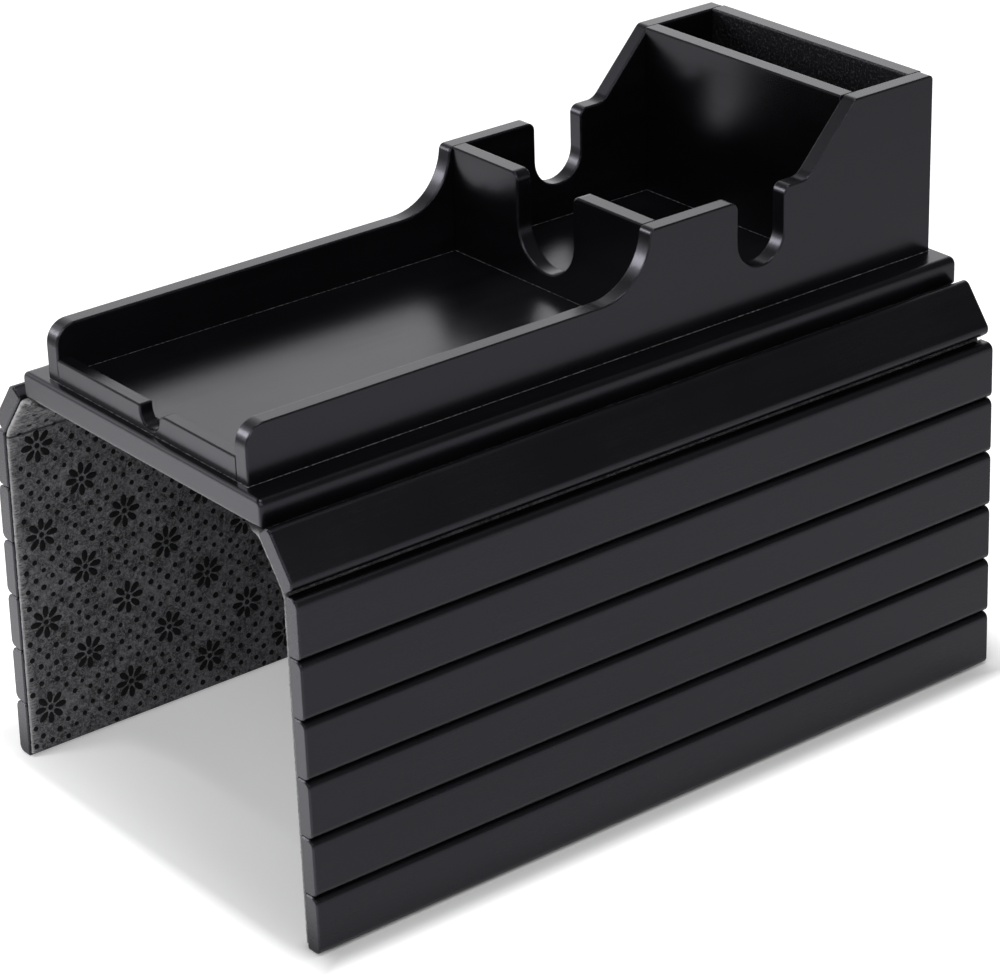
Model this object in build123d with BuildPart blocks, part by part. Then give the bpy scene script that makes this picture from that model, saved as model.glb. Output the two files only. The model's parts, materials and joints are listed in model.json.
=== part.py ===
from build123d import *

import os
from math import atan2, cos, degrees, radians, sin, sqrt, tan

# A tray for the arm of a sofa: a divided wooden box on a board, and on each long edge of the
# board a panel of slats that hangs down the side of the arm. A felt lining, glued to the back
# of the board and of every slat, is the only hinge. X runs across the arm, Y along it from
# the front to the back, Z up. The origin is on the ground, midway between the two panels and
# midway along the slats. Sizes are millimetres and degrees.

# Slats and lining
slat_pitch = 24.0
slat_thickness = 7.5
slat_length = 344.0
slat_gap = 0.4
slat_outer_round = 3.0
slat_inner_round = 1.0
slat_end_flat = 0.5
hanging_slats = 6
felt_thickness = 2.0
felt_end_inset = 2.5
felt_hem_inset = 2.0
felt_clearance = 0.15

# Photographed stance, as angles from the vertical
corner_tilt = 36.7
panel_lean = 1.0

# How far the lining folds before it is squeezed solid
board_fold_limit = 90.0
slat_fold_limit = 45.0

# Board
board_width = 155.8
board_thickness = 11.2
board_front_setback = 2.0
board_side_round = 3.0
board_end_round = 1.5
board_under_round = 1.0

# Box
box_side_setback = 12.8
box_front_setback = 4.0
box_back_setback = 2.6
wall_thickness = 7.2
arris_flat = 0.5
floor_thickness = 3.1
lip_thickness = 6.0
lip_height = 9.4
low_height = 22.7
middle_height = 47.3
top_height = 74.1
cup_well_length = 94.9
rear_slot_length = 29.5

# Outline of the side walls
front_corner_round = 8.5
cove_setback = 1.5
cove_top_round = 2.5
notch_to_slope = 12.05
slope_foot_round = 7.0
slope_top_round = 3.0
slope_overlap = 1.6
back_corner_round = 2.0
side_notch_width = 24.0
side_notch_depth = 29.3
side_notch_lip_round = 3.5

# Notches across the tray
divider_notch_width = 34.0
divider_notch_foot = 7.0
divider_notch_lip_round = 3.5
lip_notch_width = 12.5
lip_notch_depth = 8.2
lip_notch_offset = 3.5
lip_notch_left_round = 0.8
lip_notch_right_round = 3.5

# The dividers' ends, let into the side walls
tongue_depth = 2.5
tongue_stop = 6.0
joint_clearance = 0.1

overrun = 1.0

# Heights and places that follow
corner_drop = slat_pitch * cos(radians(corner_tilt))
foot_reach = hanging_slats * slat_pitch - slat_gap / 2 - slat_inner_round
foot_rise = slat_inner_round * (1 - sin(radians(panel_lean)))
panel_drop = foot_reach * cos(radians(panel_lean)) + foot_rise
board_bottom = panel_drop + corner_drop
board_top = board_bottom + board_thickness
board_front = -slat_length / 2 + board_front_setback
board_back = slat_length / 2
fold_x = board_width / 2 + slat_gap / 2

floor_top = board_top + floor_thickness
lip_top = board_top + lip_height
low_top = board_top + low_height
middle_top = board_top + middle_height
box_top = board_top + top_height

wall_inner_x = board_width / 2 - box_side_setback - wall_thickness
box_front = board_front + box_front_setback
box_back = board_back - box_back_setback
lip_back = box_front + lip_thickness
back_wall_front = box_back - wall_thickness
slot_divider_front = back_wall_front - rear_slot_length - wall_thickness
middle_divider_front = slot_divider_front - cup_well_length - wall_thickness
cup_well_middle = slot_divider_front - cup_well_length / 2
lining_length = slat_length - 2 * felt_end_inset


def finish(part, label):
    part.label = label
    export_step(part, f"parts/{label}.step")


def corner(sketch, across, upward):
    return sketch.vertices().sort_by_distance((across, upward, 0))[0]


def notch(across, bottom, top, width):
    """A U cut down from a top edge, in the sketch that is open."""
    centre = bottom + width / 2
    with Locations((across, centre)):
        Circle(width / 2, mode=Mode.SUBTRACT)
        Rectangle(width, top + overrun - centre, align=(Align.CENTER, Align.MIN), mode=Mode.SUBTRACT)


# The board, rounded over on its top edges
def base_board():
    with BuildPart() as board:
        with BuildSketch(Plane.XY.offset(board_bottom)):
            with Locations((0, board_front)):
                Rectangle(board_width, board_back - board_front, align=(Align.CENTER, Align.MIN))
        extrude(amount=board_thickness)
        top = board.faces().sort_by(Axis.Z)[-1]
        under = board.faces().sort_by(Axis.Z)[0]
        under_edges = under.edges().filter_by(Axis.Y)
        fillet(top.edges().filter_by(Axis.Y), board_side_round)
        fillet(under_edges, board_under_round)
        fillet(board.faces().sort_by(Axis.Z)[-1].edges().filter_by(Axis.X), board_end_round)
    finish(board.part, "base_board")


# The side walls step down from the rear slot to the phone tray
def side_wall(side, label):
    inner_x = side * wall_inner_x
    cove_radius = middle_height - low_height
    cove_end = middle_divider_front - cove_setback
    slope_top = slot_divider_front + slope_overlap
    slope_foot = cup_well_middle + side_notch_width / 2 + notch_to_slope
    with BuildPart() as wall:
        with BuildSketch(Plane.YZ.offset(inner_x)) as outline:
            with BuildLine():
                Polyline(
                    (cove_end, middle_top),
                    (slope_foot, middle_top),
                    (slope_top, box_top),
                    (box_back, box_top),
                    (box_back, board_top),
                    (box_front, board_top),
                    (box_front, low_top),
                    (cove_end - cove_radius, low_top),
                )
                CenterArc((cove_end - cove_radius, middle_top), cove_radius, -90, 90)
            make_face()
            rounds = (
                (box_front, low_top, front_corner_round),
                (cove_end, middle_top, cove_top_round),
                (slope_foot, middle_top, slope_foot_round),
                (slope_top, box_top, slope_top_round),
                (box_back, box_top, back_corner_round),
            )
            for along, upward, radius in rounds:
                fillet(corner(outline, along, upward), radius)
            notch(cup_well_middle, middle_top - side_notch_depth, middle_top, side_notch_width)
            for along in (-side_notch_width / 2, side_notch_width / 2):
                fillet(corner(outline, cup_well_middle + along, middle_top), side_notch_lip_round)
        extrude(amount=side * wall_thickness)
        broad_faces = wall.faces().sort_by(Axis.X)[0::len(wall.faces()) - 1]
        arrises = broad_faces.edges().filter_by(lambda e: e.center().Z > board_top + arris_flat)
        chamfer(arrises, arris_flat)
        with Locations((inner_x, 0, floor_top)):
            housings = (
                (middle_divider_front, middle_top),
                (slot_divider_front, box_top),
            )
            for front, top in housings:
                with Locations((0, front + wall_thickness / 2, -joint_clearance)):
                    Box(
                        2 * (tongue_depth + joint_clearance),
                        wall_thickness + 2 * joint_clearance,
                        top - tongue_stop - floor_top + 2 * joint_clearance,
                        align=(Align.CENTER, Align.CENTER, Align.MIN),
                        mode=Mode.SUBTRACT,
                    )
    finish(wall.part, label)


# The floor is a thin sheet that lies between the walls
def tray_floor():
    with BuildPart() as floor:
        with BuildSketch(Plane.XY.offset(board_top)):
            with Locations((0, lip_back)):
                Rectangle(2 * wall_inner_x, back_wall_front - lip_back, align=(Align.CENTER, Align.MIN))
        extrude(amount=floor_thickness)
    finish(floor.part, "tray_floor")


# The lip closes the front of the phone tray, with a notch for a charging cable whose right
# side flares out to the top
def front_lip():
    radius = lip_notch_width / 2
    left = lip_notch_offset - radius
    centre = lip_top - lip_notch_depth + radius
    rise = lip_notch_depth - radius - lip_notch_right_round
    run = sqrt((radius + lip_notch_right_round) ** 2 - rise**2)
    turn = degrees(atan2(rise, run))
    flare = lip_notch_offset + run
    with BuildPart() as lip:
        with BuildSketch(Plane.XZ.offset(-box_front)) as outline:
            with Locations((0, board_top)):
                Rectangle(2 * wall_inner_x, lip_height, align=(Align.CENTER, Align.MIN))
            with BuildLine():
                Polyline(
                    (flare, lip_top),
                    (flare, lip_top + overrun),
                    (left, lip_top + overrun),
                    (left, centre),
                )
                CenterArc((lip_notch_offset, centre), radius, 180, 180 + turn)
                CenterArc(
                    (flare, lip_top - lip_notch_right_round),
                    lip_notch_right_round,
                    180 + turn,
                    -90 - turn,
                )
            make_face(mode=Mode.SUBTRACT)
            fillet(corner(outline, left, lip_top), lip_notch_left_round)
        extrude(amount=-lip_thickness)
        broad_faces = lip.faces().sort_by(Axis.Y)[0::len(lip.faces()) - 1]
        chamfer(broad_faces.edges().filter_by(lambda e: inside_top(e, board_top)), arris_flat)
    finish(lip.part, "front_lip")


def inside_top(edge, foot):
    """True for an edge between the side walls and clear of the foot of its piece."""
    middle = edge.center()
    return abs(middle.X) < wall_inner_x - arris_flat and middle.Z > foot + arris_flat


# The dividers stand on the floor, and their ends are let into the side walls
def divider(front, top, notch_width, label):
    with BuildPart() as panel:
        with BuildSketch(Plane.XZ.offset(-front)) as outline:
            with Locations((0, floor_top)):
                Rectangle(2 * wall_inner_x, top - floor_top, align=(Align.CENTER, Align.MIN))
                Rectangle(
                    2 * (wall_inner_x + tongue_depth),
                    top - tongue_stop - floor_top,
                    align=(Align.CENTER, Align.MIN),
                )
            if notch_width:
                notch(0, floor_top + divider_notch_foot, top, notch_width)
                for across in (-notch_width / 2, notch_width / 2):
                    fillet(corner(outline, across, top), divider_notch_lip_round)
        extrude(amount=-wall_thickness)
        broad_faces = panel.faces().sort_by(Axis.Y)[0::len(panel.faces()) - 1]
        chamfer(broad_faces.edges().filter_by(lambda e: inside_top(e, floor_top)), arris_flat)
    finish(panel.part, label)


# The back wall stands on the board between the side walls
def back_wall():
    with BuildPart() as wall:
        with BuildSketch(Plane.XZ.offset(-back_wall_front)):
            with Locations((0, board_top)):
                Rectangle(2 * wall_inner_x, top_height, align=(Align.CENTER, Align.MIN))
        extrude(amount=-wall_thickness)
        chamfer(wall.faces().sort_by(Axis.Z)[-1].edges().filter_by(Axis.X), arris_flat)
    finish(wall.part, "back_wall")


def fold_places():
    """The folds of the right-hand panel from the board down, each with its slat's tilt."""
    tilts = [corner_tilt] + [panel_lean] * hanging_slats
    across = fold_x
    upward = board_bottom
    places = []
    for tilt in tilts:
        places.append((across, upward, tilt))
        across += slat_pitch * sin(radians(tilt))
        upward -= slat_pitch * cos(radians(tilt))
    return places


def slat_plane(side, across, upward, tilt):
    """Local X runs down the slat from its upper fold, and local Y out of its back."""
    down = (side * sin(radians(tilt)), 0, -cos(radians(tilt)))
    return Plane(origin=(side * across, 0, upward), x_dir=down, z_dir=(0, -side, 0))


def slat(plane, label):
    with BuildPart() as strip:
        with BuildSketch(plane) as section:
            with Locations((slat_pitch / 2, 0)):
                Rectangle(slat_pitch - slat_gap, slat_thickness, align=(Align.CENTER, Align.MIN))
            fillet(section.vertices().group_by(Axis.Y)[0], slat_inner_round)
            fillet(section.vertices().group_by(Axis.Y)[-1], slat_outer_round)
        extrude(amount=slat_length / 2, both=True)
        ends = strip.faces().sort_by(Axis.Y)[0::len(strip.faces()) - 1]
        chamfer(ends.edges(), slat_end_flat)
    finish(strip.part, label)


def mitre(fold_limit):
    """How far a strip of lining is cut back at its face, to close on the next one."""
    return felt_thickness * tan(radians(fold_limit / 2)) + felt_clearance


def lining_strip(plane, upper_limit, last, label):
    foot = slat_pitch - (felt_hem_inset if last else felt_clearance)
    face_foot = slat_pitch - (felt_hem_inset if last else mitre(slat_fold_limit))
    with BuildPart() as strip:
        with BuildSketch(plane):
            with BuildLine():
                Polyline(
                    (felt_clearance, 0),
                    (foot, 0),
                    (face_foot, -felt_thickness),
                    (mitre(upper_limit), -felt_thickness),
                    close=True,
                )
            make_face()
        extrude(amount=lining_length / 2, both=True)
    finish(strip.part, label)


def board_lining():
    under = board_bottom - felt_thickness
    edge = fold_x - felt_clearance
    face_edge = fold_x - mitre(board_fold_limit)
    with BuildPart() as lining:
        with BuildSketch(Plane.XZ):
            with BuildLine():
                Polyline(
                    (-edge, board_bottom),
                    (edge, board_bottom),
                    (face_edge, under),
                    (-face_edge, under),
                    close=True,
                )
            make_face()
        extrude(amount=lining_length / 2, both=True)
    finish(lining.part, "board_felt")


# Each panel is a corner slat and the slats that hang below it, every one with its own lining
def hanging_panel(side, name):
    for number, (across, upward, tilt) in enumerate(fold_places()):
        plane = slat_plane(side, across, upward, tilt)
        if number == 0:
            slat(plane, f"{name}_corner_slat")
            lining_strip(plane, board_fold_limit, False, f"{name}_corner_felt")
        else:
            slat(plane, f"{name}_slat_{number}")
            last = number == hanging_slats
            lining_strip(plane, slat_fold_limit, last, f"{name}_felt_{number}")


os.makedirs("parts", exist_ok=True)
base_board()
side_wall(-1, "left_wall")
side_wall(1, "right_wall")
tray_floor()
front_lip()
divider(middle_divider_front, middle_top, divider_notch_width, "middle_divider")
divider(slot_divider_front, box_top, 0, "slot_divider")
back_wall()
board_lining()
hanging_panel(-1, "left")
hanging_panel(1, "right")
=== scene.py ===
import json
import math

import bpy
from mathutils import Matrix, Vector, noise


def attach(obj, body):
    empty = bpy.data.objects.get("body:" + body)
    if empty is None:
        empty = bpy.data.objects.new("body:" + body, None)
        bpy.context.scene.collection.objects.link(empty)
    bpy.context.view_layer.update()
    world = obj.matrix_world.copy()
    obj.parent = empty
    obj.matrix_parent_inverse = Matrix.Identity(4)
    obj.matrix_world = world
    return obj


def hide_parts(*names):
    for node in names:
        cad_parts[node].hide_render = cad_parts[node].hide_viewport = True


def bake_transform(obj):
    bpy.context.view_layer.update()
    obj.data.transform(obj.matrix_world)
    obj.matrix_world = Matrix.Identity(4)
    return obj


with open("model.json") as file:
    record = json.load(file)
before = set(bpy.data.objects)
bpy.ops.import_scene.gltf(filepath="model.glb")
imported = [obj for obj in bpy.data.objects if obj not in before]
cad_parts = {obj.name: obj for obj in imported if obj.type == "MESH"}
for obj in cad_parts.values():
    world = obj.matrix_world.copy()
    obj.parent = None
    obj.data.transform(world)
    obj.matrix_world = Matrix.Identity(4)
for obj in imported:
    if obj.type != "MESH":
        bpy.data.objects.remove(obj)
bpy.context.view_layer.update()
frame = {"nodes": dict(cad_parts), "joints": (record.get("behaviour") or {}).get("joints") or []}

# Lengths are metres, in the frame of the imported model: X across the arm, Y along it, Z up.
# On the lining, "along" is Y and "length" is the unrolled distance from the middle of the board,
# negative on the left. A NOISE is scale, detail, roughness and distortion. A RANGE is the value
# where an effect starts and the value where it is full, and then its two levels if not 0 and 1.

# ---------------------------------------------------------------- camera of the photograph

CAMERA_PLACE = (1.0452, -0.8201, 0.7246)
CAMERA_TURN = 51.967
CAMERA_RISE = 25.224
CAMERA_ROLL = -1.627
LENS = 132.67
SENSOR = 36.0
CLIP_NEAR = 0.05
CLIP_FAR = 50

# ---------------------------------------------------------------- shape of the lining

SLATS = 6
THICK = 0.002
HALF_LENGTH = 0.1715
HALF_PITCH = 0.012
HEM_INSET = 0.002
BEND_REACH = 0.0032
BLEND_REACH = 0.004
GLUE_LINE = 0.00003
BOARD_STEP = 0.0018
PANEL_STEP = 0.001
ROW_STEP = 0.0018
SHARP_ANGLE = 50

# The rounding of the cut ends: distance from the end, and share of the thickness that is lost
CUT_ROUNDING = ((0.0, 0.45), (0.00025, 0.2), (0.0008, 0.05), (0.0018, 0.0))

# Unevenness as height, scale and seed: of the pile, and of the cut ends' two rims
PILE_SINK = 0.0002
PILE_FINE = (0.00016, 900, 1.0)
PILE_COARSE = (0.0001, 300, 5.0)
RIM_REACH = 0.001
RIM_INSIDE = (0.00028, 1400, 9.0)
RIM_GLUED = (0.0002, 1400, 12.0)

# The felt's ends drawn in under the board
END_PULL = 0.0044
PULL_START = 0.076
PULL_RUN = 0.014
PULL_REACH = 0.02

# The bunched felt at the left panel's front corner
WRINKLE = 0.0011
WRINKLE_LENGTH = -0.09
WRINKLE_REACH = 0.016
WRINKLE_START = -0.135
WRINKLE_RUN = 0.02
RIDGE_ALONG = 60
RIDGE_LENGTH = 420
RIDGE_SLANT = 160
RIDGE_SEED = 21.0

# ---------------------------------------------------------------- print on the lining

PRINT_HEIGHT = 0.00022
PRINT_SINK = 0.00006
PRINT_SHOULDER = (0.93, 0.6)
PRINT_BORDER = HALF_LENGTH - 0.0006
PETALS = 8
PETAL_SWEEP = 0.0074
PETAL_INNER = 0.27
PETAL_WIDTH = 0.2
PETAL_TAPER = (0.8, 0.3)
PETAL_POINTS = 14
PETAL_CROWN = 0.7
HEART_RADIUS = 0.17 * PETAL_SWEEP
HEART_POINTS = 10
DOT_RADIUS = 0.0012
DOT_POINTS = 9
ROUND_CROWN = 0.6
DOT_SHIFT = (0.0008, 700, 31.0)
DOT_SLIDE = (0.0008, 700, 37.0)
DOT_SWELL = (0.35, 500, 41.0)
FIRST_FLOWER = (-0.15886, -0.11092)
STEP_ALONG = (0.0193, -0.00092)
STEP_DOWN = (-0.00049, -0.01919)
LATTICE_STEPS = 30
LATTICE_LENGTH = 0.26
DOTS_PER_STEP = 5
FLOWER_CLEARANCE = 0.0082

# ---------------------------------------------------------------- look of the lining

FELT_DARK = (0.026, 0.0254, 0.028, 1)
FELT_LIGHT = (0.172, 0.168, 0.184, 1)
FELT_HAIR = (0.42, 0.412, 0.44, 1)
FELT_CUT_AND_HIGHLIGHT = (0.55, 0.54, 0.55, 1)
FELT_ROUGHNESS = 0.95
FELT_SPECULAR = 0.15
FELT_SHEEN = 0.1
SHEEN_ROUGHNESS = 0.5
BLOTCH_NOISE = (520.0, 4.0, 0.65, 1.4)
SWIRL_NOISE = (170.0, 2.0, 0.5, 1.0)
PATCH_NOISE = (60.0, 1.0)
MOTTLE_SHARES = (0.5, 0.3, 0.2)
MOTTLE_RANGE = (0.42, 0.58)
NAP_HAIR_SHARE = 0.6
NAP_STRENGTH = 0.9
NAP_HEIGHT = 0.0005

# Hairs: direction in degrees and scale of each layer, and how they are drawn
HAIR_LAYERS = ((15, 900.0), (75, 1000.0), (130, 850.0))
HAIR_STRETCH = (1.0, 0.16, 1.0)
HAIR_DETAIL = (2.0, 0.6, 0.7)
HAIR_RANGE = (0.045, 0.0)
TUFT_RANGE = (0.4, 0.62, 0.15, 0.75)

# The pale cut ends of the panels' felt, and painted shade: the felt's ends under the board drawn
# dark
COMB_STRETCH = (0.18, 1.0, 1.0)
COMB_NOISE = (1500.0, 2.0, 0.6, 0.6)
COMB_RANGE = (0.42, 0.62)
FRINGE_RANGE = (HALF_LENGTH - 0.0046, HALF_LENGTH, 0.0, 1.0)
FRINGE_SHARE = 0.75
RAGGED = 0.0016
CUT_RANGE = (HALF_LENGTH - 0.0004, HALF_LENGTH + 0.0009)
PANEL_RANGE = (0.068, 0.08, 0.0, 1.0)
UNDER_SHADE_RANGE = (HALF_LENGTH - 0.0032, HALF_LENGTH - 0.0012, 0.0, 1.0)

# A painted highlight: pale wisps on the felt of the left panel's front corner; and painted shade
# along the crease under it
CORNER_FOOT_RANGE = (-0.112, -0.1, 0.0, 1.0)
CORNER_HEAD_RANGE = (-0.068, -0.078, 0.0, 1.0)
CORNER_DEPTH_RANGE = (-0.13, -0.16, 0.0, 1.0)
WISP_STRETCH = (0.35, 1.0, 1.0)
WISP_NOISE = (700.0, 3.0, 0.7, 1.0)
WISP_RANGE = (0.44, 0.6)
WISP_HIGHLIGHT_SHARE = 0.8
CREASE = 0.1035
CREASE_SHADE_RANGE = (0.0011, 0.0004)
CREASE_SHADE_DEPTH_RANGE = (-0.12, -0.15, 0.0, 0.8)

PRINT_DARK = (0.002, 0.002, 0.0024, 1)
PRINT_LIGHT = (0.007, 0.007, 0.008, 1)
PRINT_SPECULAR = 0.2
PRINT_NOISE = (2400.0, 2.0, 0.6)
PRINT_RANGE = (0.4, 0.7)
WEAR_NOISE = (500.0, 2.0)
WEAR_RANGE = (0.3, 0.7, 0.5, 0.75)
PRINT_BUMP = 0.5
PRINT_GRAIN = 0.0001

# ---------------------------------------------------------------- look of the lacquer

LACQUER_DARK = (0.0018, 0.0017, 0.0021, 1)
LACQUER_LIGHT = (0.004, 0.0038, 0.0046, 1)
LACQUER_WORN_HIGHLIGHT = (0.042, 0.04, 0.045, 1)
LACQUER_GLINT = (0.86, 0.84, 1.0, 1)
LACQUER_IOR = 1.5
BOX_SATIN = (0.21, 0.26)
SLAT_SATIN = (0.24, 0.3)
GRAIN_SQUEEZE = 0.035
GRAIN_NOISE = (900.0, 5.0, 0.62)
BAND_NOISE = (160.0, 3.0, 0.5, 0.6)
CLOUD_NOISE = (18.0, 3.0)
DUST_NOISE = (2600.0, 1.0)
PORE_RANGE = (0.56, 0.74)
PORE_SHARE = 0.5
SHADE_SHARES = (0.6, 0.4)
SHADE_RANGE = (0.34, 0.66)
SATIN_SHARES = (0.6, 0.4)
SATIN_RANGE = (0.36, 0.66)
BOX_RELIEF = 0.08
SHEET_RELIEF = 0.06
SLAT_RELIEF = 0.1
RELIEF_HEIGHT = 0.00008
RELIEF_DUST = 0.2
RELIEF_BANDS = 0.6

# Edges: the rounding that the shader gives them, and their wear, paled further as a painted
# highlight
ARRIS_ROUND = 0.0008
ARRIS_SAMPLES = 3
ARRIS_RANGE = (0.97, 0.75)
WORN_HIGHLIGHT_RANGE = (0.35, 0.6, 0.3, 1.0)
WORN_HIGHLIGHT_SHARE = 0.6

# Pale seams round the sheets that lie between the walls: half width, front and back
FLOOR_SEAMS = ((0.0579, -0.16, 0.0234), (0.0579, 0.0306, 0.1255))
BOX_SEAM = ((0.0652, -0.1661, 0.1694),)
SEAM_PALE = (0.27, 0.264, 0.284, 1)
SEAM_REACH = 0.00045
SEAM_CORE = 0.4
SEAM_NOISE = (700.0, 4.0, 0.8)
SEAM_RANGE = (0.44, 0.62, 0.12, 1.0)

# The faces that look forward inside the rear slot, drawn paler, speckled and rougher
SLOT_MIDDLE = 0.148
SLOT_FACING = -0.5
SLOT_PALE = (0.085, 0.083, 0.091, 1)
SLOT_NOISE = (900.0, 4.0, 0.8)
SLOT_RANGE = (0.52, 0.68)
SLOT_ROUGHNESS = 0.42

# ---------------------------------------------------------------- studio

FLOOR_REACH = 6.0
FLOOR_PAINT = (0.8, 0.8, 0.8, 1)
# How bright the floor glows: under the tray less, a painted shadow, and in the open
FLOOR_UNDER_SHADOW = 0.31
FLOOR_OPEN = 0.8

# How bright the tray mirrors the floor, and a painted pool of light, seen only in reflections,
# that makes it brighter close to the tray's front
FLOOR_MIRRORED = 0.12
PAINTED_POOL_MIRRORED = 1.0
PAINTED_POOL_FADE = (-0.37, -0.2)

# Where the floor's painted shadow deepens at the right foot, and where it fades to white, from the
# tray outwards
RIGHT_FOOT_SHADOW = (0.088, 0.1)
LEFT_EDGE = (-0.1, -0.15)
RIGHT_EDGE = (0.105, 0.121)
FRONT_EDGE = (-0.164, -0.19)
REAR_EDGE = (0.155, 0.215)

# The room, by the direction that it is seen in
WHITE = (1, 1, 1, 1)
ROOM_LEVEL = 0.1
HORIZON_LEVEL = 0.7
HORIZON_RANGE = (0.26, 0.04, 0.0, HORIZON_LEVEL)
LEFT_LEVEL = 1.38
LEFT_RANGE = (-0.1, -0.6, 0.0, 1.0)
LEFT_HEIGHT_RANGE = (0.85, 0.35, 0.0, LEFT_LEVEL)
FRONT_SHARE = 0.3
FRONT_RANGE = (-0.3, 0.2, FRONT_SHARE, 1.0)

# A spot that brightens the floor in front
POOL_PLACE = (-0.19, -0.55, 1.3)
POOL_CONE = 36
POOL_BLEND = 0.7
POOL_SOFTNESS = 0.12
POOL_LEVEL = 1.55

# Pieces that mirror the lamps on the left twice, where the photograph is dark
SHADED = ("tray_floor", "front_lip", "middle_divider", "slot_divider")


# ---------------------------------------------------------------- material helpers

def new_material(name):
    material = bpy.data.materials.new(name)
    material.use_nodes = True
    nodes = material.node_tree.nodes
    nodes.clear()
    output = nodes.new("ShaderNodeOutputMaterial")
    shader = nodes.new("ShaderNodeBsdfPrincipled")
    material.node_tree.links.new(shader.outputs[0], output.inputs["Surface"])
    return material, shader


def link(material, source, target):
    material.node_tree.links.new(source, target)


def add(material, kind, inputs=None, **settings):
    """A node with its settings, its inputs given as values or as sockets to link."""
    node = material.node_tree.nodes.new(kind)
    for key, value in settings.items():
        setattr(node, key, value)
    for key, value in (inputs or {}).items():
        if isinstance(value, bpy.types.NodeSocket):
            link(material, value, node.inputs[key])
        else:
            node.inputs[key].default_value = value
    return node


def remap(material, value, low, high, to_low=0.0, to_high=1.0, **settings):
    inputs = {0: value, 1: low, 2: high, 3: to_low, 4: to_high}
    return add(material, "ShaderNodeMapRange", inputs, **settings).outputs[0]


def smooth(material, value, low, high, to_low, to_high):
    return remap(material, value, low, high, to_low, to_high, interpolation_type="SMOOTHSTEP")


def combine(material, operation, first, second=0.0):
    return add(material, "ShaderNodeMath", {0: first, 1: second}, operation=operation).outputs[0]


def times(material, first, second):
    return combine(material, "MULTIPLY", first, second)


def weighted(material, *parts):
    """The sum of values, each times its weight."""
    total = times(material, *parts[0])
    for value, weight in parts[1:]:
        total = combine(material, "ADD", total, times(material, value, weight))
    return total


def tint(material, factor, first, second):
    inputs = {0: factor, 6: first, 7: second}
    return add(material, "ShaderNodeMix", inputs, data_type="RGBA").outputs[2]


def parted(material, vector):
    """The X, Y and Z of a vector."""
    return add(material, "ShaderNodeSeparateXYZ", {0: vector}).outputs


def stretched(material, source, scale):
    return add(material, "ShaderNodeMapping", {"Vector": source, "Scale": scale}).outputs[0]


def noise_at(material, place, scale, detail=2.0, rough=0.5, distort=0.0):
    inputs = {
        "Vector": place,
        "Scale": scale,
        "Detail": detail,
        "Roughness": rough,
        "Distortion": distort,
    }
    return add(material, "ShaderNodeTexNoise", inputs).outputs[0]


def true_normal(material):
    return add(material, "ShaderNodeNewGeometry").outputs["True Normal"]


def relief(material, shader, height, strength, distance, normal=None):
    """Gives the shader a bump, on top of a normal if there is one."""
    inputs = {"Height": height, "Strength": strength, "Distance": distance}
    bump = add(material, "ShaderNodeBump", inputs)
    if normal is not None:
        link(material, normal, bump.inputs["Normal"])
    link(material, bump.outputs[0], shader.inputs["Normal"])


# ---------------------------------------------------------------- materials

def rim_line(material, place, half_x, low_y, high_y):
    """1 in a thin band along the sides of a rectangle of the frame, 0 elsewhere."""
    x, y, _ = parted(material, place)
    off_y = combine(material, "SUBTRACT", y, (low_y + high_y) / 2)
    gap_x = combine(material, "SUBTRACT", combine(material, "ABSOLUTE", x), half_x)
    half_y = (high_y - low_y) / 2
    gap_y = combine(material, "SUBTRACT", combine(material, "ABSOLUTE", off_y), half_y)
    gap = combine(material, "ABSOLUTE", combine(material, "MAXIMUM", gap_x, gap_y))
    return remap(material, gap, SEAM_REACH, SEAM_CORE * SEAM_REACH)


def forward_slot_faces(material, place):
    """1 on the faces that look forward inside the rear slot, 0 elsewhere."""
    behind = combine(material, "GREATER_THAN", parted(material, place)[1], SLOT_MIDDLE)
    facing = parted(material, true_normal(material))[1]
    forward = combine(material, "LESS_THAN", facing, SLOT_FACING)
    return times(material, behind, forward)


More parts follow.
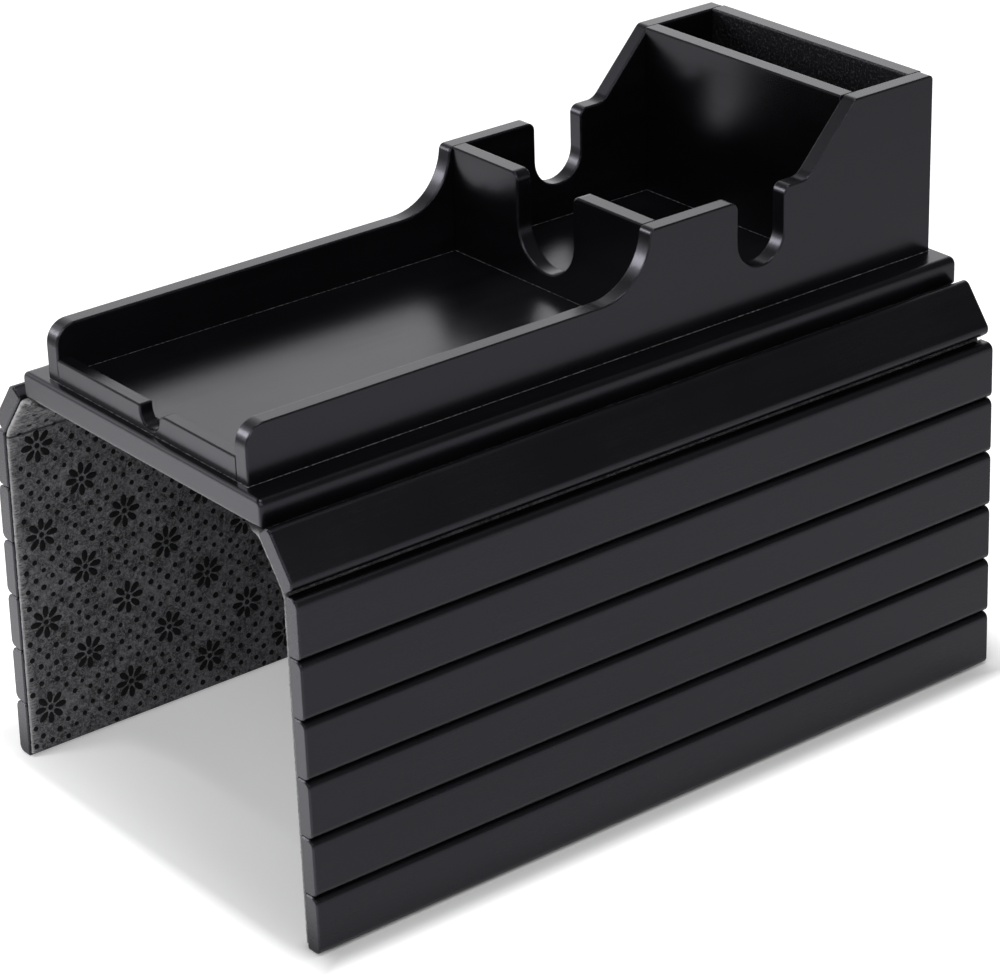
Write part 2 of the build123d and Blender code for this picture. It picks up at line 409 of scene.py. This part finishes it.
def lacquered_wood(name, along, satin_levels, relief_strength, seams=()):
    """Black lacquer over fine grain that runs along one axis of the frame. Seams are rectangles
    along whose sides a thin pale broken line is drawn."""
    material, shader = new_material(name)
    place = add(material, "ShaderNodeTexCoord").outputs["Object"]
    long_scale = [1.0, 1.0, 1.0]
    long_scale["XYZ".index(along)] = GRAIN_SQUEEZE
    lengthwise = stretched(material, place, long_scale)
    grain = noise_at(material, lengthwise, *GRAIN_NOISE)
    bands = noise_at(material, lengthwise, *BAND_NOISE)
    cloud = noise_at(material, place, *CLOUD_NOISE)
    dust = noise_at(material, place, *DUST_NOISE)
    pores = remap(material, grain, *PORE_RANGE)

    shade = weighted(material, *zip((bands, cloud), SHADE_SHARES))
    base = tint(material, remap(material, shade, *SHADE_RANGE), LACQUER_DARK, LACQUER_LIGHT)
    base = tint(material, times(material, pores, PORE_SHARE), base, LACQUER_DARK)

    rounding = {"Radius": ARRIS_ROUND}
    soft = add(material, "ShaderNodeBevel", rounding, samples=ARRIS_SAMPLES).outputs[0]
    normals = {0: soft, 1: true_normal(material)}
    turned = add(material, "ShaderNodeVectorMath", normals, operation="DOT_PRODUCT")
    edge = remap(material, turned.outputs["Value"], *ARRIS_RANGE)
    # Wear on the edges, paled further as a painted highlight
    worn_highlight = times(material, edge, remap(material, dust, *WORN_HIGHLIGHT_RANGE))
    base = tint(material, times(material, worn_highlight, WORN_HIGHLIGHT_SHARE), base, LACQUER_WORN_HIGHLIGHT)

    for seam in seams:
        line = rim_line(material, place, *seam)
        broken = remap(material, noise_at(material, place, *SEAM_NOISE), *SEAM_RANGE)
        base = tint(material, times(material, line, broken), base, SEAM_PALE)

    slot_faces = forward_slot_faces(material, place)
    speckle = remap(material, noise_at(material, place, *SLOT_NOISE), *SLOT_RANGE)
    base = tint(material, slot_faces, base, tint(material, speckle, LACQUER_DARK, SLOT_PALE))
    link(material, base, shader.inputs["Base Color"])

    uneven = weighted(material, *zip((cloud, grain), SATIN_SHARES))
    satin = remap(material, uneven, *SATIN_RANGE, *satin_levels)
    satin = combine(material, "MAXIMUM", satin, times(material, slot_faces, SLOT_ROUGHNESS))
    link(material, satin, shader.inputs["Roughness"])
    height = weighted(material, (dust, RELIEF_DUST), (pores, -1.0), (bands, RELIEF_BANDS))
    relief(material, shader, height, relief_strength, RELIEF_HEIGHT, soft)
    shader.inputs["IOR"].default_value = LACQUER_IOR
    shader.inputs["Specular Tint"].default_value = LACQUER_GLINT
    return material


def hair(material, place, turn, scale):
    """Thin fibres in one direction: the middle lines of a stretched noise."""
    rotation = (0, 0, math.radians(turn))
    turned = add(material, "ShaderNodeMapping", {"Vector": place, "Rotation": rotation})
    lengthwise = stretched(material, turned.outputs[0], HAIR_STRETCH)
    drawn = noise_at(material, lengthwise, scale, *HAIR_DETAIL)
    off = combine(material, "ABSOLUTE", combine(material, "SUBTRACT", drawn, 0.5))
    return remap(material, off, *HAIR_RANGE)


def felt_material():
    """Grey needled felt: mottled and brushed, pale and hairy where its front edge is cut."""
    material, shader = new_material("lining_felt_grey")
    place = add(material, "ShaderNodeUVMap", uv_map="flat").outputs[0]
    along, length, _ = parted(material, place)
    blotch = noise_at(material, place, *BLOTCH_NOISE)
    swirl = noise_at(material, place, *SWIRL_NOISE)
    patch = noise_at(material, place, *PATCH_NOISE)
    hairs = hair(material, place, *HAIR_LAYERS[0])
    for layer in HAIR_LAYERS[1:]:
        hairs = combine(material, "MAXIMUM", hairs, hair(material, place, *layer))
    mottle = weighted(material, *zip((blotch, swirl, patch), MOTTLE_SHARES))
    body = tint(material, remap(material, mottle, *MOTTLE_RANGE), FELT_DARK, FELT_LIGHT)
    tuft = times(material, hairs, remap(material, blotch, *TUFT_RANGE))
    body = tint(material, tuft, body, FELT_HAIR)

    reach = combine(material, "ABSOLUTE", along)
    on_panel = smooth(material, combine(material, "ABSOLUTE", length), *PANEL_RANGE)
    comb = noise_at(material, stretched(material, place, COMB_STRETCH), *COMB_NOISE)
    fringe = smooth(material, reach, *FRINGE_RANGE)
    fringe = times(material, fringe, remap(material, comb, *COMB_RANGE))
    ragged = combine(material, "ADD", reach, times(material, comb, RAGGED))
    cut = remap(material, ragged, *CUT_RANGE)
    pale = combine(material, "MAXIMUM", times(material, fringe, FRINGE_SHARE), cut)
    body = tint(material, times(material, pale, on_panel), body, FELT_CUT_AND_HIGHLIGHT)
    # Painted shade: the middle sheet's cut ends, under the board, are drawn as dark as the lacquer
    under_shade = smooth(material, reach, *UNDER_SHADE_RANGE)
    under_shade = times(material, under_shade, combine(material, "SUBTRACT", 1.0, on_panel))
    body = tint(material, under_shade, body, LACQUER_LIGHT)

    # Painted highlight: pale wisps over the left panel's front corner
    corner = times(
        material,
        smooth(material, length, *CORNER_FOOT_RANGE),
        smooth(material, length, *CORNER_HEAD_RANGE),
    )
    corner = times(material, corner, smooth(material, along, *CORNER_DEPTH_RANGE))
    wisp_highlight = noise_at(material, stretched(material, place, WISP_STRETCH), *WISP_NOISE)
    wisp_highlight = times(material, remap(material, wisp_highlight, *WISP_RANGE), WISP_HIGHLIGHT_SHARE)
    body = tint(material, times(material, corner, wisp_highlight), body, FELT_CUT_AND_HIGHLIGHT)
    # Painted shade: a dark line along the crease under that corner
    off = combine(material, "ABSOLUTE", combine(material, "ADD", length, CREASE))
    crease_shade = remap(material, off, *CREASE_SHADE_RANGE)
    crease_shade = times(material, crease_shade, smooth(material, along, *CREASE_SHADE_DEPTH_RANGE))
    body = tint(material, crease_shade, body, LACQUER_LIGHT)

    link(material, body, shader.inputs["Base Color"])
    shader.inputs["Roughness"].default_value = FELT_ROUGHNESS
    shader.inputs["Specular IOR Level"].default_value = FELT_SPECULAR
    shader.inputs["Sheen Weight"].default_value = FELT_SHEEN
    shader.inputs["Sheen Roughness"].default_value = SHEEN_ROUGHNESS
    height = combine(material, "ADD", blotch, times(material, hairs, NAP_HAIR_SHARE))
    relief(material, shader, height, NAP_STRENGTH, NAP_HEIGHT)
    return material


def print_material():
    """Soft black anti-slip print, a little uneven."""
    material, shader = new_material("lining_print_black")
    place = add(material, "ShaderNodeUVMap", uv_map="flat").outputs[0]
    speckle = noise_at(material, place, *PRINT_NOISE)
    wear = noise_at(material, place, *WEAR_NOISE)
    base = tint(material, remap(material, speckle, *PRINT_RANGE), PRINT_DARK, PRINT_LIGHT)
    link(material, base, shader.inputs["Base Color"])
    link(material, remap(material, wear, *WEAR_RANGE), shader.inputs["Roughness"])
    shader.inputs["Specular IOR Level"].default_value = PRINT_SPECULAR
    relief(material, shader, speckle, PRINT_BUMP, PRINT_GRAIN)
    return material


# ---------------------------------------------------------------- wood

box_along_y = lacquered_wood("box_lacquer_y", "Y", BOX_SATIN, BOX_RELIEF)
box_along_x = lacquered_wood("box_lacquer_x", "X", BOX_SATIN, BOX_RELIEF)
floor_lacquer = lacquered_wood("floor_lacquer", "Y", BOX_SATIN, SHEET_RELIEF, FLOOR_SEAMS)
board_lacquer = lacquered_wood("board_lacquer", "Y", BOX_SATIN, SHEET_RELIEF, BOX_SEAM)
slat_lacquer = lacquered_wood("slat_lacquer", "Y", SLAT_SATIN, SLAT_RELIEF)

FINISHES = {"tray_floor": floor_lacquer, "base_board": board_lacquer}
for name in ("front_lip", "middle_divider", "slot_divider", "back_wall"):
    FINISHES[name] = box_along_x

for name, node in frame["nodes"].items():
    if name.endswith("felt") or "_felt_" in name:
        continue
    finish = slat_lacquer if "slat" in name else FINISHES.get(name, box_along_y)
    if node.material_slots:
        for slot in node.material_slots:
            slot.material = finish
    else:
        node.data.materials.append(finish)


# ---------------------------------------------------------------- lining

class Profile:
    """The lining's course from the middle of the board down one panel, by unrolled length."""

    def __init__(self, side, folds):
        self.side = side
        self.points = [Vector((0.0, folds[0].y))] + folds
        self.marks = [0.0]
        for first, second in zip(self.points, self.points[1:]):
            self.marks.append(self.marks[-1] + (second - first).length)

    def direction(self, run):
        return (self.points[run + 1] - self.points[run]).normalized()

    def at(self, length, depth):
        """The point at an unrolled length from the middle, so deep from the glued face."""
        for fold in range(1, len(self.points) - 1):
            offset = length - self.marks[fold]
            if abs(offset) < BEND_REACH:
                return self.bent(fold, offset, depth)
        run = 0
        while run < len(self.points) - 2 and length > self.marks[run + 1]:
            run += 1
        along = self.direction(run)
        inward = Vector((along.y, -along.x))
        return self.placed(self.points[run] + along * (length - self.marks[run]) + inward * depth)

    def bent(self, fold, offset, depth):
        """A point of the soft bend at a fold."""
        before, after = self.direction(fold - 1), self.direction(fold)
        in_before = Vector((before.y, -before.x))
        in_after = Vector((after.y, -after.x))
        middle = self.points[fold]
        start = middle - before * BEND_REACH + in_before * depth
        end = middle + after * BEND_REACH + in_after * depth
        half_turn = (in_before + in_after).normalized()
        corner = middle + half_turn * (depth / half_turn.dot(in_before))
        share = (offset + BEND_REACH) / (2 * BEND_REACH)
        left = 1 - share
        return self.placed(start * left ** 2 + corner * 2 * share * left + end * share ** 2)

    def placed(self, point):
        return Vector((self.side * point.x, point.y))


def clamped(share):
    return min(1.0, max(0.0, share))


def drawn_in(length, along):
    """How far the felt's ends are pulled in under the board, where no slat shows them."""
    share = clamped((PULL_START - length) / PULL_RUN)
    near_end = clamped(1 - (HALF_LENGTH - abs(along)) / PULL_REACH)
    return math.copysign(END_PULL * share * share * (3 - 2 * share) * near_end, along)


def lining_point(profile, length, along, depth):
    flat = profile.at(length, depth)
    return Vector((flat.x, along - drawn_in(length, along), flat.y))


def steps(start, end, spacing):
    count = max(1, round((end - start) / spacing))
    return [start + (end - start) * i / count for i in range(count + 1)]


def fuzz(first, second, height, scale, seed):
    return height * noise.noise(Vector((first * scale, second * scale, seed)))


def wrinkle(along, length):
    """How far the felt bunches up over the left panel's front corner."""
    near = max(0.0, 1 - abs(length - WRINKLE_LENGTH) / WRINKLE_REACH)
    near *= clamped((WRINKLE_START - along) / WRINKLE_RUN)
    across = length * RIDGE_LENGTH + along * RIDGE_SLANT
    ridge = 0.5 + noise.noise(Vector((along * RIDGE_ALONG, across, RIDGE_SEED)))
    return WRINKLE * near * max(0.0, ridge)


class MeshParts:
    """Vertices, faces, their flat coordinates and materials, for one mesh."""

    def __init__(self, side=1):
        self.side = side
        self.points, self.faces, self.flat, self.material = [], [], [], []

    def vertex(self, point, flat):
        self.points.append(point)
        self.flat.append((flat[0], self.side * flat[1]))
        return len(self.points) - 1

    def face(self, corners, material=0):
        self.faces.append(corners)
        self.material.append(material)

    def band(self, first, second, material=0):
        """The faces between two closed loops of as many vertices."""
        for i in range(len(first)):
            j = (i + 1) % len(first)
            self.face((first[i], first[j], second[j], second[i]), material)

    def build(self, name, materials):
        mesh = bpy.data.meshes.new(name)
        mesh.from_pydata(self.points, [], self.faces)
        for material in materials:
            mesh.materials.append(material)
        mesh.polygons.foreach_set("material_index", self.material)
        layer = mesh.uv_layers.new(name="flat")
        flat = [value for loop in mesh.loops for value in self.flat[loop.vertex_index]]
        layer.data.foreach_set("uv", flat)
        mesh.shade_smooth()
        mesh.set_sharp_from_angle(angle=math.radians(SHARP_ANGLE))
        mesh.validate()
        piece = bpy.data.objects.new(name, mesh)
        bpy.context.scene.collection.objects.link(piece)
        return piece


def sheet_body(parts, place, start, end, spacing):
    """A closed strip of felt between two unrolled lengths. place(length, along, depth) gives a
    point. Both cut ends along Y are softly rounded and ragged."""
    across = steps(start, end, spacing)
    inner = HALF_LENGTH - 2 * ROW_STEP
    rows = [(-HALF_LENGTH + inset, squeeze) for inset, squeeze in CUT_ROUNDING]
    rows += [(along, 0.0) for along in steps(-inner, inner, ROW_STEP)]
    rows += [(HALF_LENGTH - inset, squeeze) for inset, squeeze in reversed(CUT_ROUNDING)]
    rings = []
    for along, squeeze in rows:
        ring = []
        at_rim = HALF_LENGTH - abs(along) < RIM_REACH
        for length in across:
            lift = fuzz(along, length, *PILE_FINE) + fuzz(along, length, *PILE_COARSE)
            lift += wrinkle(along, parts.side * length)
            depth = THICK * (1 - squeeze) - PILE_SINK + lift
            y = along + (fuzz(length, along, *RIM_INSIDE) if at_rim else 0.0)
            ring.append(parts.vertex(place(length, y, depth), (y, length)))
        for length in reversed(across):
            depth = GLUE_LINE + THICK * squeeze
            y = along + (fuzz(length, along, *RIM_GLUED) if at_rim else 0.0)
            ring.append(parts.vertex(place(length, y, depth), (y, length)))
        rings.append(ring)
    for first, second in zip(rings, rings[1:]):
        parts.band(first, second)
    size = len(rings[0])
    for ring, flip in ((rings[0], True), (rings[-1], False)):
        for i in range(len(across) - 1):
            quad = (ring[i], ring[i + 1], ring[size - 2 - i], ring[size - 1 - i])
            parts.face(tuple(reversed(quad)) if flip else quad)


def raised(parts, place, centre, outline, crown_share):
    """One printed spot: a closed low dome over an outline about its centre, as (along, length)."""
    shoulder_share, shoulder_height = PRINT_SHOULDER
    levels = (
        (1.0, -PRINT_SINK),
        (shoulder_share, shoulder_height * PRINT_HEIGHT),
        (crown_share, PRINT_HEIGHT),
    )
    loops = []
    for share, height in levels:
        depth = THICK - PILE_SINK + height
        loop = []
        for along, length in outline:
            y = centre[0] + (along - centre[0]) * share
            s = centre[1] + (length - centre[1]) * share
            loop.append(parts.vertex(place(s, y, depth), (y, s)))
        loops.append(loop)
    for lower, upper in zip(loops, loops[1:]):
        parts.band(lower, upper, 1)
    parts.face(tuple(loops[-1]), 1)
    parts.face(tuple(reversed(loops[0])), 1)


def petal(centre, turn):
    """The middle and the outline of a teardrop whose point is towards the flower's middle."""
    outline = []
    for i in range(PETAL_POINTS):
        angle = 2 * math.pi * i / PETAL_POINTS
        share = (1 - math.cos(angle)) / 2
        radial = PETAL_INNER + (1.0 - PETAL_INNER) * share
        side = PETAL_WIDTH * math.sin(angle) * (PETAL_TAPER[0] + PETAL_TAPER[1] * share)
        along = PETAL_SWEEP * (radial * math.cos(turn) - side * math.sin(turn))
        down = PETAL_SWEEP * (radial * math.sin(turn) + side * math.cos(turn))
        outline.append((centre[0] + along, centre[1] + down))
    middle = PETAL_SWEEP * (PETAL_INNER + 1.0) / 2
    return (centre[0] + middle * math.cos(turn), centre[1] + middle * math.sin(turn)), outline


def disc(centre, radius, count):
    return [(centre[0] + radius * math.cos(2 * math.pi * i / count),
             centre[1] + radius * math.sin(2 * math.pi * i / count)) for i in range(count)]


def lattice(share):
    """Centres of a centred lattice over the whole lining, its step a share of the flowers'."""
    found = []
    reach = int(LATTICE_STEPS / share)
    for i in range(-reach, reach + 1):
        for k in range(-reach, reach + 1):
            if (i + k) % 2:
                continue
            along = FIRST_FLOWER[0] + share * (i * STEP_ALONG[0] + k * STEP_DOWN[0])
            length = FIRST_FLOWER[1] + share * (i * STEP_ALONG[1] + k * STEP_DOWN[1])
            if abs(along) < HALF_LENGTH + PETAL_SWEEP and abs(length) < LATTICE_LENGTH:
                found.append((along, length))
    return found


flowers = lattice(1.0)
dots = [dot for dot in lattice(1.0 / DOTS_PER_STEP)
        if min(math.dist(dot, flower) for flower in flowers) > FLOWER_CLEARANCE]


def print_on(parts, place, start, end, side):
    """The print whose centres lie between two unrolled lengths of a side."""

    def put(centre, outline, crown_share):
        """One spot, left out where it would pass an end of the felt or the hem."""
        outline = [(along, side * length) for along, length in outline]
        if any(abs(along) >= PRINT_BORDER or length >= HEM for along, length in outline):
            return
        if side < 0:
            outline.reverse()
        raised(parts, place, (centre[0], side * centre[1]), outline, crown_share)

    for centre in flowers:
        if start <= side * centre[1] < end:
            for number in range(PETALS):
                put(*petal(centre, 2 * math.pi * number / PETALS), PETAL_CROWN)
            put(centre, disc(centre, HEART_RADIUS, HEART_POINTS), ROUND_CROWN)
    for along, length in dots:
        if start <= side * length < end:
            centre = (
                along + fuzz(along, length, *DOT_SHIFT),
                length + fuzz(length, along, *DOT_SLIDE),
            )
            radius = DOT_RADIUS * (1 + fuzz(*centre, *DOT_SWELL))
            put(centre, disc(centre, radius, DOT_POINTS), ROUND_CROWN)


felt = felt_material()
rubber = print_material()
joints = {joint["name"]: joint for joint in frame["joints"]}


def per_slat(first, name):
    """The name for the corner slat, and then those for the hanging slats."""
    return [first] + [f"{name}_{i}" for i in range(1, SLATS + 1)]


def fold_places(side_name):
    """The folds of one panel, as (x, z) to the right, and its lower end."""
    names = per_slat(f"{side_name}_board_fold", f"{side_name}_fold")
    places = [joints[name]["pos_m"] for name in names]
    points = [Vector((abs(x), z)) for x, _, z in places]
    points.append(points[-1] + (points[-1] - points[-2]))
    return points


profiles = {"left": Profile(-1, fold_places("left")), "right": Profile(1, fold_places("right"))}
FOLD_MARKS = profiles["right"].marks[1:-1]
HEM = profiles["right"].marks[-1] - HEM_INSET
MIDDLE_REACH = FOLD_MARKS[0] - HALF_PITCH


def board_place(length, along, depth):
    profile = profiles["left"] if length < 0 else profiles["right"]
    return lining_point(profile, abs(length), along, depth)


parts = MeshParts()
sheet_body(parts, board_place, -MIDDLE_REACH, MIDDLE_REACH, BOARD_STEP)
print_on(parts, board_place, -MIDDLE_REACH, MIDDLE_REACH, 1)
lining_middle = parts.build("lining_middle", [felt, rubber])
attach(lining_middle, "base")
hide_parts("board_felt")

for side_name, profile in profiles.items():
    felts = per_slat(f"{side_name}_corner_felt", f"{side_name}_felt")

    def place(length, along, depth, profile=profile):
        return lining_point(profile, length, along, depth)

    for number, fold in enumerate(FOLD_MARKS):
        start = fold - HALF_PITCH
        end = HEM if number == SLATS else fold + HALF_PITCH
        parts = MeshParts(profile.side)
        sheet_body(parts, place, start, end, PANEL_STEP)
        print_on(parts, place, start, end, profile.side)
        piece = parts.build(f"{side_name}_lining_{number}", [felt, rubber])
        place(fold - BLEND_REACH, 0.0, THICK / 2)
        place(fold + BLEND_REACH, 0.0, THICK / 2)
        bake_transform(piece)
        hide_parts(felts[number])


# ---------------------------------------------------------------- studio

def camera():
    data = bpy.data.cameras.new("camera")
    data.sensor_width = SENSOR
    data.lens = LENS
    data.clip_start = CLIP_NEAR
    data.clip_end = CLIP_FAR
    turn, rise, roll = (math.radians(a) for a in (CAMERA_TURN, CAMERA_RISE, CAMERA_ROLL))
    back = Vector((
        math.sin(turn) * math.cos(rise),
        -math.cos(turn) * math.cos(rise),
        math.sin(rise),
    ))
    level = Vector((math.cos(turn), math.sin(turn), 0))
    upright = back.cross(level)
    right = level * math.cos(roll) + upright * math.sin(roll)
    up = upright * math.cos(roll) - level * math.sin(roll)
    piece = bpy.data.objects.new("camera", data)
    piece.matrix_world = Matrix((
        (right.x, up.x, back.x, CAMERA_PLACE[0]),
        (right.y, up.y, back.y, CAMERA_PLACE[1]),
        (right.z, up.z, back.z, CAMERA_PLACE[2]),
        (0, 0, 0, 1),
    ))
    bpy.context.scene.collection.objects.link(piece)
    bpy.context.scene.camera = piece


def lamp(name, kind, place, target):
    """A lamp that looks at a target, and its data."""
    data = bpy.data.lights.new(name, kind)
    piece = bpy.data.objects.new(name, data)
    piece.location = place
    piece.rotation_mode = "QUATERNION"
    piece.rotation_quaternion = (Vector(target) - Vector(place)).to_track_quat("-Z", "Y")
    bpy.context.scene.collection.objects.link(piece)
    return piece, data


def softbox(name, place, target, width, height, brightness):
    """A lamp that looks as bright as a surface of that strength."""
    piece, data = lamp(name, "AREA", place, target)
    data.shape = "RECTANGLE"
    data.size = width
    data.size_y = height
    data.energy = brightness * math.pi * width * height
    return piece


def floor_pool():
    """A spot that brightens the floor in front, which the front faces reflect."""
    target = (*POOL_PLACE[:2], 0.0)
    distance = (Vector(target) - Vector(POOL_PLACE)).length
    _, data = lamp("front_pool", "SPOT", POOL_PLACE, target)
    data.spot_size = math.radians(POOL_CONE)
    data.spot_blend = POOL_BLEND
    data.shadow_soft_size = POOL_SOFTNESS
    data.energy = POOL_LEVEL * 4 * (math.pi * distance) ** 2


def spare(piece, others):
    """Keeps a lamp off some pieces, as a flag on a stand would."""
    shade = bpy.data.collections.new(piece.name + "_flag")
    for other in others:
        shade.objects.link(other)
    piece.light_linking.receiver_collection = shade
    for entry in shade.collection_objects:
        entry.light_linking.link_state = "EXCLUDE"


def studio_floor():
    """A floor that glows white in the open and less under the tray, least at its right foot, a
    painted shadow;
    it also keeps the tray's cast shadow. Close to the tray's front, reflections see a painted pool
    of light; away from there, the tray mirrors it mostly dark."""
    mesh = bpy.data.meshes.new("studio_floor")
    corners = ((-1, -1), (1, -1), (1, 1), (-1, 1))
    corners = [(x * FLOOR_REACH, y * FLOOR_REACH, 0) for x, y in corners]
    mesh.from_pydata(corners, [], [(0, 1, 2, 3)])
    floor = bpy.data.objects.new("studio_floor", mesh)
    bpy.context.scene.collection.objects.link(floor)
    material = bpy.data.materials.new("studio_floor")
    material.use_nodes = True
    material.node_tree.nodes.clear()

    x, y, _ = parted(material, add(material, "ShaderNodeTexCoord").outputs["Object"])
    # Painted shadow: less glow under the tray and none at its right foot
    level = smooth(material, x, *RIGHT_FOOT_SHADOW, FLOOR_UNDER_SHADOW, 0.0)
    for off, edge in ((x, LEFT_EDGE), (x, RIGHT_EDGE), (y, FRONT_EDGE), (y, REAR_EDGE)):
        clear = smooth(material, off, *edge, 0.0, FLOOR_OPEN)
        level = combine(material, "MAXIMUM", level, clear)
    rays = add(material, "ShaderNodeLightPath").outputs
    mirrored = combine(material, "MAXIMUM", rays["Is Glossy Ray"], rays["Is Transmission Ray"])
    # Painted pool of light in front of the tray, seen only in reflections
    near = times(
        material,
        smooth(material, y, *PAINTED_POOL_FADE, 0.0, PAINTED_POOL_MIRRORED),
        smooth(material, y, *FRONT_EDGE, 0.0, 1.0),
    )
    mirrored = times(material, mirrored, combine(material, "ADD", near, FLOOR_MIRRORED))
    seen = combine(material, "MAXIMUM", rays["Is Camera Ray"], mirrored)

    paint = add(material, "ShaderNodeBsdfDiffuse", {"Color": FLOOR_PAINT})
    strength = times(material, seen, level)
    glow = add(material, "ShaderNodeEmission", {"Color": WHITE, "Strength": strength})
    both = add(material, "ShaderNodeAddShader", {0: paint.outputs[0], 1: glow.outputs[0]})
    add(material, "ShaderNodeOutputMaterial", {"Surface": both.outputs[0]})
    mesh.materials.append(material)
    return floor


def studio_world():
    """Pale all round at eye level, bright up to the left, and dark above and to the right."""
    world = bpy.data.worlds.new("studio")
    bpy.context.scene.world = world
    world.use_nodes = True
    background = world.node_tree.nodes["Background"]
    x, y, z = parted(world, add(world, "ShaderNodeTexCoord").outputs["Generated"])
    horizon = smooth(world, z, *HORIZON_RANGE)
    leftward = times(world, smooth(world, x, *LEFT_RANGE), smooth(world, y, *FRONT_RANGE))
    leftward = times(world, leftward, smooth(world, z, *LEFT_HEIGHT_RANGE))
    glow = combine(world, "ADD", combine(world, "MAXIMUM", horizon, leftward), ROOM_LEVEL)
    seen = add(world, "ShaderNodeLightPath").outputs["Is Camera Ray"]
    level = combine(world, "MAXIMUM", seen, glow)
    link(world, level, background.inputs["Strength"])
    background.inputs["Color"].default_value = WHITE


camera()
floor = studio_floor()
studio_world()
unlit = [floor] + [frame["nodes"][name] for name in SHADED]
strip = softbox("left_strip", (-1.25, -1.12, 0.82), (0, 0, 0.2), 0.4, 0.5, 9.0)
spare(strip, unlit + [frame["nodes"]["base_board"]])
fill = softbox("left_fill", (-1.2, -0.85, 0.75), (0, 0, 0.2), 1.1, 0.9, 1.2)
spare(fill, unlit)
softbox("overhead", (0.15, 0.05, 1.7), (0, 0, 0), 0.6, 0.6, 9.0)
softbox("right_side", (1.35, -0.05, 1.0), (0, 0, 0.0), 0.75, 0.75, 2.0)
softbox("camera_side", (0.8, -1.05, 1.1), (0, -0.1, 0.0), 0.8, 0.8, 3.3)
floor_pool()

scene = bpy.context.scene
scene.view_settings.view_transform = "Standard"
